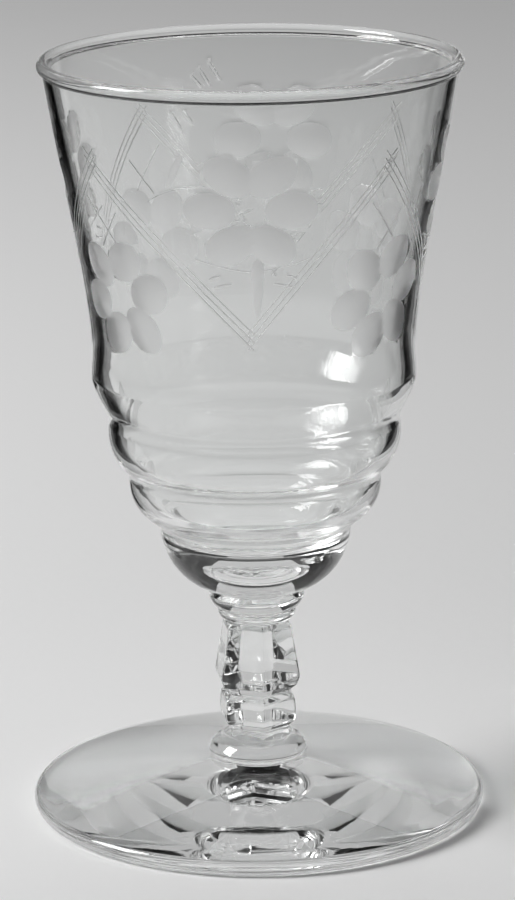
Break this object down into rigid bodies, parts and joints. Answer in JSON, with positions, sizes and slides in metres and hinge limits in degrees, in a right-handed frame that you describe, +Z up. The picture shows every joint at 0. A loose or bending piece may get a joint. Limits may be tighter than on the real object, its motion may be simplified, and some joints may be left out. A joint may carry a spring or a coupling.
{
  "type": "juice glass",
  "caption": "Stemmed juice glass of clear glass: flared bowl with a stepped base and grey-cut flowers, six-sided stem with a knop, and a round foot.",
  "frame": {"origin": "centre of the foot, on the surface that the glass stands on", "axes": "+Z up along the glass's axis, -Y towards the viewer in the picture, +X to the viewer's right"},
  "size_m": [0.076, 0.076, 0.127],
  "materials": {
    "clear_glass": "fire-polished clear glass, with matte grey-cut ornament on the bowl's outside"
  },
  "bodies": {
    "root": {"foot": "clear_glass", "foot_button": "clear_glass", "stem": "clear_glass", "lower_wafer": "clear_glass", "upper_wafer": "clear_glass", "bowl": "clear_glass"}
  },
  "joints": []
}
